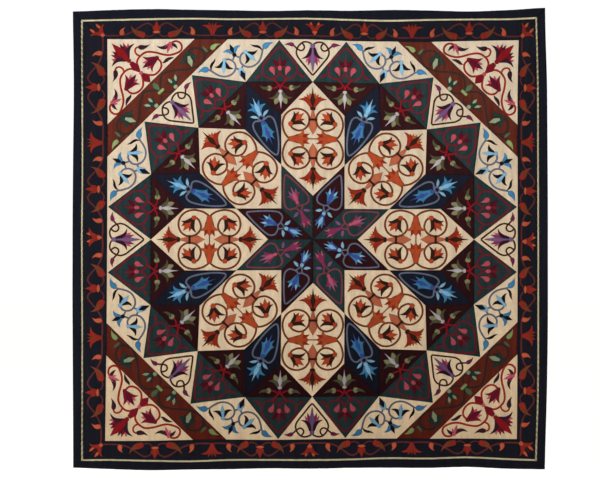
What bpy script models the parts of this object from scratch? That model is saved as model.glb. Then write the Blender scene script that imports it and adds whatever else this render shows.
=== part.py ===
"""Applique wall hanging: an eight-pointed star of cloth patches on a cream ground cloth, inside two borders.

The cloth hangs in the XZ plane with its face towards -Y. The origin is the middle of its top edge.
Run with: blender --background --python part.py
"""
import math

import bmesh
import bpy
from mathutils import Vector
from mathutils.geometry import delaunay_2d_cdt, intersect_point_line

# Driving sizes of the whole panel, in metres
PANEL_WIDTH = 2.000
PANEL_HEIGHT = 1.935
OUTER_BORDER = 0.0345
PIPING_WIDTH = 0.0085
FIELD_HALF = 0.8432  # half the height of the square field that the borders frame
STRETCH = 1.03  # the field is a little wider than it is high
CENTRE = Vector((0.0095, -0.0010))  # middle of the star, from the middle of the panel

# Driving sizes of the star, from its middle, in metres
STAR_ARM = 0.184  # side of each rhombus in the middle star
HEXAGON_SIDE = 0.211  # straight side of each cream hexagon round the star
OCTAGON_REACH = 0.6638  # from the middle to the straight seam between the maroon and the green
BAND_WIDTH = 0.096  # rust band across each corner of the field
TIP_CLEARANCE = 0.003  # from the tip of a green triangle to the border or band that it points at

# Cloth
GROUND_THICK = 0.0015
PATCH_THICK = 0.0010
LAYER_GAP = 0.0003  # between two layers of cloth, and between two patches side by side
POINT_SPACING = 0.095  # longest step along an outline before it bends with the cloth
NET_ACROSS = 0.085  # spacing of the loose points between the outlines
NET_UP = 0.16
CLEAR_OF_OUTLINE = 0.028  # a loose point nearer to an outline than this is left out

DIRECTIONS = ("n", "ne", "e", "se", "s", "sw", "w", "nw")
EIGHTH = math.radians(45)

# How far the level lines of the cloth rise or drop, in millimetres, at even stations from left to right
LEVEL_LINES = {
    "foot_edge": (5, -2, -6, -3, -2, 2, 0, 4, 4, 4, 7, 1, -2),
    "foot_piping": (-2, -2, -5, -7, -2, -1, -2, 1, 6, 5, 9, 3, -3),
    "field_foot": (-5, -6, -5, -1, 0, -1, 1, 4, 4, 4, 4, 3, 3),
    "middle": (1, 1, 1, 1, 1, 2, 2, 1, 0, 1, 1, 1, 1),
    "field_top": (5, 3, 3, 4, 3, 2, 2, -5, -7, -8, -5, -2, -1),
    "top_piping": (-6, -3, 1, 3, 1, 2, 3, -2, -6, -2, 0, 1, 7),
    "top_edge": (-5, 1, 5, 2, 0, -3, 0, -2, 1, -1, -5, 1, 10),
}
# How far the upright lines drift to the right, in millimetres, at even stations from the foot to the top
UPRIGHT_LINES = {
    "left_edge": (1, 0, -2, -2, 0, 3, -1),
    "left_piping": (0, 1, 0, -1, 1, 0, -1),
    "field_left": (-7, -3, 1, 3, 4, 5, 3),
    "middle": (-2, 0, 3, 3, 3, 2, 2),
    "field_right": (-7, -4, -3, -2, -2, -2, 5),
    "right_piping": (-9, 0, 2, 2, 1, 0, -8),
    "right_edge": (-9, 0, 4, 4, 3, 0, -8),
}
# How far the cloth stands forward in its slack folds, in millimetres, at even stations from left to right
FOLDS = {
    "foot": (6, -3, 2, 4, -3, 3, -2, 5, -4, 3, -4, 5, 1),
    "middle": (2, -2, 1, 3, -2, 2, -1, 3, -3, 1, -2, 3, -1),
    "top": (-1, 1, -1, 1, -1, 1, 0, -1, 1, 0, 1, -1, 2),
}

# Colours of the cloths, linear red, green and blue
COLOURS = {
    "cream": (0.62, 0.50, 0.30),
    "green": (0.022, 0.052, 0.048),
    "maroon": (0.045, 0.009, 0.010),
    "navy": (0.012, 0.015, 0.030),
    "rust": (0.162, 0.024, 0.012),
    "black_navy": (0.010, 0.010, 0.016),
    "piping": (0.55, 0.43, 0.26),
}


def along(values, share):
    """Value at a share from 0 to 1 along an even table, on a smooth curve through its entries."""
    place = min(max(share, 0.0), 1.0) * (len(values) - 1)
    first = min(int(place), len(values) - 2)
    part = place - first
    before, start = values[max(first - 1, 0)], values[first]
    end, after = values[first + 1], values[min(first + 2, len(values) - 1)]
    squared = 2 * before - 5 * start + 4 * end - after
    cubed = 3 * (start - end) + after - before
    return start + 0.5 * part * (end - before + part * (squared + part * cubed))


def between(levels, place):
    """Value at a place among (place, value) pairs that rise, in straight steps."""
    for (low, low_value), (high, high_value) in zip(levels, levels[1:]):
        if place <= high:
            share = max(place - low, 0.0) / (high - low)
            return low_value + (high_value - low_value) * share
    return levels[-1][1]


def line_places(half_size, middle, half_field):
    """Where the seven level or upright lines of the panel lie, from the lowest to the highest."""
    piping = half_size - OUTER_BORDER - PIPING_WIDTH / 2
    return (-half_size, -piping, middle - half_field, middle, middle + half_field, piping, half_size)


def lay(flat):
    """Place of a point of the flat panel on the hung cloth, half way through the ground cloth."""
    across = flat[0] / PANEL_WIDTH + 0.5
    up = flat[1] / PANEL_HEIGHT + 0.5
    levels = line_places(PANEL_HEIGHT / 2, CENTRE.y, FIELD_HALF)
    uprights = line_places(PANEL_WIDTH / 2, CENTRE.x, FIELD_HALF * STRETCH)
    lifts = [along(row, across) for row in LEVEL_LINES.values()]
    drifts = [along(row, up) for row in UPRIGHT_LINES.values()]
    depths = [along(row, across) for row in FOLDS.values()]
    lift = between(list(zip(levels, lifts)), flat[1])
    drift = between(list(zip(uprights, drifts)), flat[0])
    forward = along(depths, up)
    return Vector((flat[0] + drift / 1000, -forward / 1000, flat[1] - PANEL_HEIGHT / 2 + lift / 1000))


def polar(radius, turn):
    """Point at a radius from the star's middle, turned clockwise from straight up."""
    return Vector((radius * math.sin(turn), radius * math.cos(turn)))


def on_panel(point):
    """A point of the evenly drawn star, stretched and set in its place on the panel."""
    return Vector((CENTRE.x + STRETCH * point.x, CENTRE.y + point.y))


def star_rhombus(number):
    """Middle star: one of eight rhombi between two neighbouring directions."""
    first, second = polar(STAR_ARM, number * EIGHTH), polar(STAR_ARM, (number + 1) * EIGHTH)
    return [Vector((0, 0)), first, first + second, second]


def shoulder(number, direction):
    """Outer end of a hexagon's straight side, beyond the tip of rhombus number."""
    return star_rhombus(number)[2] + polar(HEXAGON_SIDE, direction * EIGHTH)


def octagon_corner(number):
    return polar(OCTAGON_REACH / math.cos(EIGHTH / 2), (number + 0.5) * EIGHTH)


def navy_kite(number):
    """Kite between two hexagons, with its inner end on the star's tip."""
    tip = star_rhombus(number)[2]
    return [tip, shoulder(number, number), octagon_corner(number), shoulder(number, number + 1)]


def maroon_arrow(number):
    """Arrow-shaped patch under a navy kite, showing as a triangle on either side of it."""
    tip, left, far, right = navy_kite(number)
    left_seam = polar(OCTAGON_REACH, number * EIGHTH)
    right_seam = polar(OCTAGON_REACH, (number + 1) * EIGHTH)
    return [tip, left, left_seam, far, right_seam, right]


def green_triangle(number, side):
    """Green triangle on the octagon's side number, left (-1) or right (1) of its middle."""
    turn = number * EIGHTH
    corner = octagon_corner(number if side > 0 else number - 1)
    middle = polar(OCTAGON_REACH, turn)
    tip = (corner + middle) / 2 + polar(FIELD_HALF - TIP_CLEARANCE - OCTAGON_REACH, turn)
    return [middle, corner, tip]


def corner_band(number):
    """Straight band across one corner of the square field, number quarter turns from the top right one."""
    near = FIELD_HALF * math.sqrt(2) - FIELD_HALF
    far = (FIELD_HALF + BAND_WIDTH) * math.sqrt(2) - FIELD_HALF
    corners = ((near, FIELD_HALF), (far, FIELD_HALF), (FIELD_HALF, far), (FIELD_HALF, near))
    outline = [Vector(corner) for corner in corners]
    for _ in range(number):
        outline = [Vector((point.y, -point.x)) for point in outline]
    return outline


def rectangle(middle, half_width, half_height):
    """Corners of an upright rectangle, anticlockwise from the lower left."""
    signs = ((-1, -1), (1, -1), (1, 1), (-1, 1))
    return [middle + Vector((x * half_width, y * half_height)) for x, y in signs]


def panel_rectangle(margin):
    """Corners of the panel drawn in by a margin."""
    return rectangle(Vector((0, 0)), PANEL_WIDTH / 2 - margin, PANEL_HEIGHT / 2 - margin)


def frame_strips(name, outer, inner):
    """Four mitred strips between two rectangles."""
    strips = {}
    for number, side in enumerate(("foot", "right", "top", "left")):
        after = (number + 1) % 4
        strips[f"{name}_{side}"] = [outer[number], outer[after], inner[after], inner[number]]
    return strips


def patch_outlines():
    """Flat outline of every patch by its name, on the panel."""
    outlines = {}
    for number, direction in enumerate(DIRECTIONS):
        drawn = {
            f"star_rhombus_{number + 1}": star_rhombus(number),
            f"maroon_arrow_{number + 1}": maroon_arrow(number),
            f"navy_kite_{number + 1}": navy_kite(number),
            f"green_{direction}_left": green_triangle(number, -1),
            f"green_{direction}_right": green_triangle(number, 1),
        }
        if len(direction) == 2:
            drawn[f"rust_band_{direction}"] = corner_band(number // 2)
        outlines.update({name: [on_panel(point) for point in outline] for name, outline in drawn.items()})
    piping_outer = panel_rectangle(OUTER_BORDER)
    piping_inner = panel_rectangle(OUTER_BORDER + PIPING_WIDTH)
    field = rectangle(CENTRE, FIELD_HALF * STRETCH, FIELD_HALF)
    outlines.update(frame_strips("outer_border", panel_rectangle(0), piping_outer))
    outlines.update(frame_strips("piping", piping_outer, piping_inner))
    outlines.update(frame_strips("inner_border", piping_inner, field))
    return outlines


def spaced(outline):
    """The outline anticlockwise, with points added so that no step is longer than POINT_SPACING."""
    turning = sum(a.x * b.y - b.x * a.y for a, b in zip(outline, outline[1:] + outline[:1]))
    corners = outline if turning > 0 else outline[::-1]
    points = []
    for start, end in zip(corners, corners[1:] + corners[:1]):
        steps = max(1, math.ceil((end - start).length / POINT_SPACING))
        points += [start.lerp(end, step / steps) for step in range(steps)]
    return points


def loose_points(outlines):
    """Points on an even net between the outlines, so that wide patches bend with the folds too."""
    sides = [(start, end) for points in outlines for start, end in zip(points, points[1:] + points[:1])]
    columns, rows = round(PANEL_WIDTH / NET_ACROSS), round(PANEL_HEIGHT / NET_UP)
    kept = []
    for column in range(1, columns):
        for row in range(1, rows):
            place = Vector((column / columns - 0.5, row / rows - 0.5)) * Vector((PANEL_WIDTH, PANEL_HEIGHT))
            kept.append(place)
    return [place for place in kept if all(distance_to(place, side) > CLEAR_OF_OUTLINE for side in sides)]


def distance_to(place, side):
    """Distance from a flat point to a straight side."""
    nearest, share = intersect_point_line(place, *side)
    if 0 <= share <= 1:
        return (place - nearest.xy).length
    return min((place - side[0]).length, (place - side[1]).length)


def flat_net(outlines):
    """One net of flat triangles whose lines follow every outline, and the triangles inside each outline."""
    points, faces = [], []
    for outline in outlines:
        faces.append(list(range(len(points), len(points) + len(outline))))
        points += outline
    points += loose_points(outlines)
    net_points, _, triangles, _, _, owners = delaunay_2d_cdt(points, [], faces, 0, 1e-5)
    inside = [[] for _ in outlines]
    for triangle, owned in zip(triangles, owners):
        for number in owned:
            inside[number].append(triangle)
    return net_points, inside


def cloth_material(name, colour):
    material = bpy.data.materials.new(name)
    material.use_nodes = True
    shader = material.node_tree.nodes["Principled BSDF"]
    shader.inputs["Base Color"].default_value = (*colour, 1)
    shader.inputs["Roughness"].default_value = 0.9
    shader.inputs["Metallic"].default_value = 0.0
    return material


def cloth_piece(name, net_points, triangles, front, thick, drawn_in, colour):
    """One closed piece of cloth: its face stands front metres before the ground cloth's middle."""
    mesh = bmesh.new()
    used = sorted({number for triangle in triangles for number in triangle})
    corners = {number: mesh.verts.new(lay(net_points[number]) - Vector((0, front, 0))) for number in used}
    for triangle in triangles:
        mesh.faces.new([corners[number] for number in triangle])
    if drawn_in > 0:
        rim = bmesh.ops.inset_region(
            mesh, faces=mesh.faces[:], thickness=drawn_in, use_boundary=True, use_even_offset=True
        )
        bmesh.ops.delete(mesh, geom=rim["faces"], context="FACES")
    back = bmesh.ops.extrude_face_region(mesh, geom=mesh.faces[:], use_keep_orig=True)["geom"]
    moved = [item for item in back if isinstance(item, bmesh.types.BMVert)]
    bmesh.ops.translate(mesh, verts=moved, vec=(0, thick, 0))
    bmesh.ops.triangulate(mesh, faces=mesh.faces[:])
    bmesh.ops.recalc_face_normals(mesh, faces=mesh.faces[:])
    data = bpy.data.meshes.new(name)
    mesh.to_mesh(data)
    mesh.free()
    data.materials.append(cloth_material(name, COLOURS[colour]))
    piece = bpy.data.objects.new(name, data)
    bpy.context.scene.collection.objects.link(piece)
    return piece


def patch_colour(name):
    """Cloth that a patch is cut from: the star's rhombi alternate maroon and green."""
    kind = name.split("_")[0]
    if kind == "star":
        return "green" if int(name[-1]) % 2 == 0 else "maroon"
    return {"outer": "black_navy", "inner": "black_navy"}.get(kind, kind)


def build():
    for old in list(bpy.data.objects):
        bpy.data.objects.remove(old)
    hanging = bpy.data.objects.new("hanging", None)
    bpy.context.scene.collection.objects.link(hanging)

    outlines = patch_outlines()
    net_points, inside = flat_net([spaced(outline) for outline in [panel_rectangle(0), *outlines.values()]])
    ground_front = GROUND_THICK / 2
    pieces = [cloth_piece("ground_cloth", net_points, inside[0], ground_front, GROUND_THICK, 0, "cream")]
    for (name, _), triangles in zip(outlines.items(), inside[1:]):
        layer = 2 if name.startswith("navy_kite") else 1
        front = ground_front + layer * (LAYER_GAP + PATCH_THICK)
        pieces.append(
            cloth_piece(name, net_points, triangles, front, PATCH_THICK, LAYER_GAP / 2, patch_colour(name))
        )
    for piece in pieces:
        piece.parent = hanging


build()
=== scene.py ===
# %% [markdown]
# # A hand-applied cotton wall hanging
# The real object is one cream ground cloth, two metres wide, with an eight-pointed star of cloth patches
# sewn to it, lotus, scroll and leaf motifs sewn over those, and two dark borders with flat piping between
# them. It hangs from its top edge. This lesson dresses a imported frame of 57 plain solids with cloth that
# has soft edges, puckers, weave and all its small motifs. Everything is in metres, the face looks along
# -Y, and +Z is up.
#
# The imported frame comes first, because every piece has to stay where its solid is. Nothing may be left
# selected after loading, since Blender's operators act on all that is.

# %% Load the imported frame
import math
import bpy
import numpy as np
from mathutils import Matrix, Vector
from mathutils.geometry import delaunay_2d_cdt


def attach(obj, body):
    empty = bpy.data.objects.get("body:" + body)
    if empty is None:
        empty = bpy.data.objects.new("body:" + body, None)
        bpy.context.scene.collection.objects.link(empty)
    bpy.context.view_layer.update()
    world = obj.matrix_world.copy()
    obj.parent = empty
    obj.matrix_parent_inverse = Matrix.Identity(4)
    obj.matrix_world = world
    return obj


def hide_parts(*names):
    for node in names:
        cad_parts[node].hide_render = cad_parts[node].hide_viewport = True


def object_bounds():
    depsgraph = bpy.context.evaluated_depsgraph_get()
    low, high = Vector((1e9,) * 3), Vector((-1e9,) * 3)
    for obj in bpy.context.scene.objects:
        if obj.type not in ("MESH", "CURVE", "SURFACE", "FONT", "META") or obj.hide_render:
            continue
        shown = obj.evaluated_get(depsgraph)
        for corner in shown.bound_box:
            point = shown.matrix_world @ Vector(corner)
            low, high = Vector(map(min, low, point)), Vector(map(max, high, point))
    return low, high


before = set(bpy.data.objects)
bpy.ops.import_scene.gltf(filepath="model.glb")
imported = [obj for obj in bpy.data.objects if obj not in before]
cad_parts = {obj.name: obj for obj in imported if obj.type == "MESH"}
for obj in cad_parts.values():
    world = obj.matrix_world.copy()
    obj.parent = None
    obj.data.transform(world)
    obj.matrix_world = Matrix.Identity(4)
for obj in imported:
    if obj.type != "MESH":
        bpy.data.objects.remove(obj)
cad_box = [list(corner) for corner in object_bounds()]
bpy.ops.object.select_all(action="DESELECT")
print("nodes in the frame:", len(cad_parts))

# %% [markdown]
# The photograph looks at the hanging squarely from several metres away, so its lines stay parallel. A long
# lens nine metres off gives the same calm view. A picture pixel covers 4.22 mm of cloth, which sets the
# lens.

# %% The camera
PIXEL = 0.00422
PICTURE_WIDTH = 600
CAMERA_DISTANCE = 9.0
PICTURE_MIDDLE = Vector((-0.0422, 0, -0.9886))
bpy.ops.object.camera_add(
    location=PICTURE_MIDDLE - Vector((0, CAMERA_DISTANCE, 0)), rotation=(math.radians(90), 0, 0)
)
camera = bpy.context.object
camera.data.lens = camera.data.sensor_width * CAMERA_DISTANCE / (PICTURE_WIDTH * PIXEL)
bpy.context.scene.camera = camera
print("lens, mm:", round(camera.data.lens, 1))

# %% [markdown]
# Materials are trees of nodes. One small function adds a node, sets its properties and its inputs, and
# links an input wherever the value given is another node's output. Colours are written as the eye reads
# them, in sRGB, and one function turns them into the linear values that the shader wants.

# %% Helpers for materials
def linear(colour):
    """Linear red, green, blue and alpha of an sRGB hex colour."""
    channels = [int(colour[place:place + 2], 16) / 255 for place in (1, 3, 5)]
    return (*[c / 12.92 if c <= 0.04045 else ((c + 0.055) / 1.055) ** 2.4 for c in channels], 1)


def add(tree, kind, inputs=(), **settings):
    """Adds a node with its settings. Inputs are values, or outputs of other nodes to link."""
    node = tree.nodes.new(kind)
    for name, value in settings.items():
        setattr(node, name, value)
    for socket, value in dict(inputs).items():
        if isinstance(value, bpy.types.NodeSocket):
            tree.links.new(value, node.inputs[socket])
        else:
            node.inputs[socket].default_value = value
    return node


def ranged(tree, value, start, end, low, high):
    """A value from start to end turned into one from low to high, and held within them."""
    return add(
        tree, "ShaderNodeMapRange",
        {"Value": value, "From Min": start, "From Max": end, "To Min": low, "To Max": high},
    ).outputs["Result"]


def combined(tree, operation, first, second):
    """The sum or the product of two values."""
    return add(tree, "ShaderNodeMath", {0: first, 1: second}, operation=operation).outputs[0]


def mixed(tree, share, first, second, blend_type="MIX"):
    """Two colours, mixed or multiplied. Sockets 6 and 7 of the node take colours, and output 2 gives one."""
    colours = {0: share, 6: first, 7: second}
    return add(tree, "ShaderNodeMix", colours, data_type="RGBA", blend_type=blend_type).outputs[2]


# %% [markdown]
# The studio is plain: a pale floor below the hanging, a pale surround, and one large, faintly blue lamp up
# and to the left, because the photograph is lightest at its upper left and its puckers catch the light on
# their left sides. The surround is dim and warm before the hanging, where it only fills the shadows. It is
# white straight behind, where the camera looks, and a white glow overhead lights the floor, so the
# backdrop is white while the lamp still shapes the cloth. The Standard view keeps the colours as they are
# written.

# %% The studio
FLOOR_DROP = 0.08
LAMP_AIM = Vector((0.1, 0, -1.0))
GLOW_FROM = (0, 0.5, 0.87)
FRONT_STRENGTH, BEHIND_STRENGTH, GLOW_STRENGTH = 0.19, 1.02, 3.1
bpy.context.scene.view_settings.view_transform = "Standard"
bpy.ops.mesh.primitive_plane_add(size=60, location=(0, 0, cad_box[0][2] - FLOOR_DROP))
floor = bpy.context.object
floor.name = "studio_floor"
floor_paint = bpy.data.materials.new("matt white floor paint")
floor_paint.use_nodes = True
floor_paint.node_tree.nodes["Principled BSDF"].inputs["Base Color"].default_value = linear("#fbfbfa")
floor_paint.node_tree.nodes["Principled BSDF"].inputs["Roughness"].default_value = 0.9
floor.data.materials.append(floor_paint)

bpy.ops.object.light_add(type="AREA", location=(-1.35, -3.0, 1.2))
lamp = bpy.context.object
lamp.data.shape = "RECTANGLE"
lamp.data.size = 1.6
lamp.data.size_y = 2.2
lamp.data.energy = 87
lamp.data.color = linear("#e9f0ff")[:3]
lamp.rotation_euler = (LAMP_AIM - lamp.location).to_track_quat("-Z", "Y").to_euler()

surround = bpy.data.worlds.new("pale studio surround")
surround.use_nodes = True
tree = surround.node_tree
direction = add(tree, "ShaderNodeTexCoord").outputs["Generated"]
backward = add(tree, "ShaderNodeSeparateXYZ", {0: direction}).outputs["Y"]
around = ranged(tree, backward, 0.35, 0.8, FRONT_STRENGTH, BEHIND_STRENGTH)
upward = add(tree, "ShaderNodeVectorMath", {0: direction, 1: GLOW_FROM}, operation="DOT_PRODUCT")
glow = ranged(tree, upward.outputs["Value"], 0.7, 1.0, 0.0, GLOW_STRENGTH)
tint = mixed(tree, ranged(tree, backward, -0.15, 0.15, 0.0, 1.0), linear("#ffe9cc"), linear("#ffffff"))
background = tree.nodes["Background"]
tree.links.new(tint, background.inputs["Color"])
tree.links.new(combined(tree, "ADD", around, glow), background.inputs["Strength"])
bpy.context.scene.world = surround
print("floor at", round(cad_box[0][2] - FLOOR_DROP, 3), "m")

# %% [markdown]
# ## How the cloth hangs
# Hung cloth is never flat. Its edges and seams rise, dip and drift by a few millimetres, and slack folds
# run down it. Short tables hold those movements, the same as in the solids, so that every patch lies on
# its solid. A smooth curve runs through each table's entries from side to side, and straight steps join
# one line to the next.

# %% Sizes and lines of the panel
PANEL_WIDTH = 2.000
PANEL_HEIGHT = 1.935
OUTER_BORDER = 0.0345
PIPING_WIDTH = 0.0085
FIELD_HALF = 0.8432
STRETCH = 1.03
CENTRE = Vector((0.0095, -0.0010))
LEVEL_LINES = {
    "foot_edge": (5, -2, -6, -3, -2, 2, 0, 4, 4, 4, 7, 1, -2),
    "foot_piping": (-2, -2, -5, -7, -2, -1, -2, 1, 6, 5, 9, 3, -3),
    "field_foot": (-5, -6, -5, -1, 0, -1, 1, 4, 4, 4, 4, 3, 3),
    "middle": (1, 1, 1, 1, 1, 2, 2, 1, 0, 1, 1, 1, 1),
    "field_top": (5, 3, 3, 4, 3, 2, 2, -5, -7, -8, -5, -2, -1),
    "top_piping": (-6, -3, 1, 3, 1, 2, 3, -2, -6, -2, 0, 1, 7),
    "top_edge": (-5, 1, 5, 2, 0, -3, 0, -2, 1, -1, -5, 1, 10),
}
UPRIGHT_LINES = {
    "left_edge": (1, 0, -2, -2, 0, 3, -1),
    "left_piping": (0, 1, 0, -1, 1, 0, -1),
    "field_left": (-7, -3, 1, 3, 4, 5, 3),
    "middle": (-2, 0, 3, 3, 3, 2, 2),
    "field_right": (-7, -4, -3, -2, -2, -2, 5),
    "right_piping": (-9, 0, 2, 2, 1, 0, -8),
    "right_edge": (-9, 0, 4, 4, 3, 0, -8),
}
FOLDS = {
    "foot": (6, -3, 2, 4, -3, 3, -2, 5, -4, 3, -4, 5, 1),
    "middle": (2, -2, 1, 3, -2, 2, -1, 3, -3, 1, -2, 3, -1),
    "top": (-1, 1, -1, 1, -1, 1, 0, -1, 1, 0, 1, -1, 2),
}


def along(table, share):
    """Values at shares from 0 to 1 down an even table, on a smooth curve through its rows."""
    table = np.array(table, float)
    place = np.clip(share, 0, 1) * (len(table) - 1)
    first = np.minimum(place.astype(int), len(table) - 2)
    part = place - first

    def row(number):
        number = np.clip(number, 0, len(table) - 1)
        return table[number] if table.ndim == 1 else np.take_along_axis(table, number[None], 0)[0]

    before, start, end, after = row(first - 1), row(first), row(first + 1), row(first + 2)
    squared = 2 * before - 5 * start + 4 * end - after
    cubed = 3 * (start - end) + after - before
    return start + 0.5 * part * (end - before + part * (squared + part * cubed))


def between(places, rows, where):
    """Values between the rows whose places lie round each point, in straight steps."""
    places, rows = np.array(places), np.array(rows)
    low = np.clip(np.searchsorted(places, where, side="left") - 1, 0, len(places) - 2)
    share = np.clip((where - places[low]) / (places[low + 1] - places[low]), 0, 1)
    start, end = (np.take_along_axis(rows, number[None], 0)[0] for number in (low, low + 1))
    return start + (end - start) * share


def line_places(half_size, middle, half_field):
    """Where the seven level or upright lines of the panel lie, from the lowest to the highest."""
    piping = half_size - OUTER_BORDER - PIPING_WIDTH / 2
    return (-half_size, -piping, middle - half_field, middle, middle + half_field, piping, half_size)


# %% [markdown]
# Sewing draws the cloth together a little, so it puckers. On this hanging the puckers run straight down.
# They are a smooth random surface: random heights at knots 12 and 30 mm apart across the cloth and far
# apart up it, a millimetre or so each, joined by the same smooth curve. The seed is fixed, so every run
# gives the same cloth. They are kept on an even net, and every piece above reads that net, so nothing
# sinks in.

# %% Puckers
NET_COLUMNS, NET_ROWS = 400, 80
RIPPLES = ((0.012, 0.15, 0.95), (0.030, 0.26, 1.10))  # knots across, knots up, height in millimetres
chance = np.random.default_rng(11)


def rippled(across_step, up_step, height):
    """Smooth random heights on the net, from knots that far apart across and up the cloth."""
    knots_up, knots_across = round(PANEL_HEIGHT / up_step) + 1, round(PANEL_WIDTH / across_step) + 1
    knots = chance.normal(0, height, (knots_up, knots_across))
    upward = np.linspace(0, 1, NET_ROWS + 1)
    sideways = np.linspace(0, 1, NET_COLUMNS + 1)
    rows = np.array([along(column, upward) for column in knots.T])
    return np.array([along(line, sideways) for line in rows.T])


puckers = sum(rippled(*ripple) for ripple in RIPPLES)
print("puckers, mm forward:", puckers.min().round(2), "to", puckers.max().round(2))


def pucker_at(u, v):
    """Height of the puckers, in millimetres, at flat points, in straight steps over the net."""
    column = np.clip((u / PANEL_WIDTH + 0.5) * NET_COLUMNS, 0, NET_COLUMNS - 1e-6)
    row = np.clip((v / PANEL_HEIGHT + 0.5) * NET_ROWS, 0, NET_ROWS - 1e-6)
    left, below = column.astype(int), row.astype(int)
    across, up = column - left, row - below
    lower = puckers[below, left] * (1 - across) + puckers[below, left + 1] * across
    upper = puckers[below + 1, left] * (1 - across) + puckers[below + 1, left + 1] * across
    return lower * (1 - up) + upper * up


def lay(u, v, front):
    """Places on the hung cloth of flat points that stand front metres before the ground cloth's middle."""
    across, up = u / PANEL_WIDTH + 0.5, v / PANEL_HEIGHT + 0.5
    levels = line_places(PANEL_HEIGHT / 2, CENTRE.y, FIELD_HALF)
    uprights = line_places(PANEL_WIDTH / 2, CENTRE.x, FIELD_HALF * STRETCH)
    lift = between(levels, [along(row, across) for row in LEVEL_LINES.values()], v)
    drift = between(uprights, [along(row, up) for row in UPRIGHT_LINES.values()], u)
    forward = along([along(row, across) for row in FOLDS.values()], up) + pucker_at(u, v)
    return np.stack([u + drift / 1000, -forward / 1000 - front, v - PANEL_HEIGHT / 2 + lift / 1000], axis=1)


# %% [markdown]
# ## Cottons
# Every piece is plain-weave cotton. Its threads are about half a millimetre thick, far finer than the
# render shows, so the weave is drawn three times as coarse as it is. Three noises do the work: one drawn
# out along the weft and one along the warp give threads and slubs, and a broad one, drawn out down the
# cloth, gives the unevenness of dye together with painted shade of the upright puckers. A turned-under
# edge gets painted shade where it rolls down to its stitches: each piece carries that as an attribute
# named edge, which is 0 at its rim and 1 inside. Down the hanging the cloth darkens more than one lamp
# makes it, so that is painted: a cotton may have a darker second colour painted at the foot, or a
# brightness painted to change on the way down. Cotton is matt, with a faint sheen from its loose fibres.

# %% Cotton
THREAD = 0.0015
SLUB_LENGTH = 0.030
# Random dye tone together with painted shade of the upright puckers, as streaks drawn out down the cloth.
DYE_AND_PUCKER_SHADE_STREAKS = (42, 42, 8)  # to the metre, across, deep and up
WEAVE_SHADE = 0.12
WEAVE_HEIGHT = 0.0006
cottons = {}


def cotton(name, colour, painted_edge_shade=0.55, mottle_and_pucker_shade=0.14, painted_shade_at_foot=None, painted_light_fade=(1, 1)):
    """Plain-weave cotton in a dyed colour. Painted light fade is its painted share of brightness at the
    hanging's foot and top.
    """
    if name in cottons:
        return cottons[name]
    material = bpy.data.materials.new(name)
    material.use_nodes = True
    tree = material.node_tree
    place = add(tree, "ShaderNodeTexCoord").outputs["Object"]

    def noise(scale, detail):
        stretched = add(tree, "ShaderNodeMapping", {"Vector": place, "Scale": scale}).outputs[0]
        inputs = {"Vector": stretched, "Scale": 1.0, "Detail": detail}
        return add(tree, "ShaderNodeTexNoise", inputs).outputs["Fac"]

    def times(first, second):
        return combined(tree, "MULTIPLY", first, second)

    weft = noise((1 / SLUB_LENGTH, 1 / THREAD, 1 / THREAD), 1.0)
    warp = noise((1 / THREAD, 1 / THREAD, 1 / SLUB_LENGTH), 1.0)
    threads = combined(tree, "ADD", weft, warp)
    rim = add(tree, "ShaderNodeAttribute", attribute_name="edge").outputs["Fac"]
    height = add(tree, "ShaderNodeSeparateXYZ", {0: place}).outputs["Z"]
    # Threads and slubs, then the dye's random tone with painted pucker shade in upright streaks.
    shade = times(
        ranged(tree, threads, 0.7, 1.3, 1 - WEAVE_SHADE, 1 + WEAVE_SHADE),
        ranged(tree, noise(DYE_AND_PUCKER_SHADE_STREAKS, 3.0), 0.3, 0.7, 1 - mottle_and_pucker_shade, 1 + mottle_and_pucker_shade),
    )
    # Painted shade along each turned edge, darkest where the edge value is 0.
    shade = times(shade, ranged(tree, rim, 0.0, 1.0, painted_edge_shade, 1.0))
    # Painted light: the brightness is painted to change from the foot of the hanging to its top.
    shade = times(shade, ranged(tree, height, -PANEL_HEIGHT, 0.0, *painted_light_fade))
    grey = add(tree, "ShaderNodeCombineColor", {0: shade, 1: shade, 2: shade}).outputs[0]
    base = linear(colour)
    # Painted shade: a darker second colour is mixed in towards the foot of the hanging.
    if painted_shade_at_foot:
        base = mixed(tree, ranged(tree, height, -PANEL_HEIGHT, 0.0, 1.0, 0.0), base, linear(painted_shade_at_foot))
    bump = add(tree, "ShaderNodeBump", {"Height": threads, "Strength": 0.35, "Distance": WEAVE_HEIGHT})
    shader = tree.nodes["Principled BSDF"]
    tree.links.new(mixed(tree, 1.0, base, grey, "MULTIPLY"), shader.inputs["Base Color"])
    tree.links.new(bump.outputs[0], shader.inputs["Normal"])
    shader.inputs["Roughness"].default_value = 0.92
    shader.inputs["Specular IOR Level"].default_value = 0.05
    shader.inputs["Sheen Weight"].default_value = 0.015
    shader.inputs["Sheen Roughness"].default_value = 0.5
    cottons[name] = material
    return material


# %% [markdown]
# ## The ground cloth
# The ground is one sheet the full size of the hanging, and it shows as all the cream areas. A grid is
# added at its size, each of its points is laid on the hung shape, and Solidify gives it the thickness of
# heavy cotton. Its rim is drawn in by a millimetre, because the outer border is turned over it.

# %% Ground cloth
GROUND_THICK = 0.0015
RIM_DRAW = 0.001


def set_edge(mesh, values):
    """Gives a mesh its edge attribute, a value for each point."""
    mesh.attributes.new("edge", "FLOAT", "POINT").data.foreach_set("value", np.asarray(values, np.float32))


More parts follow.
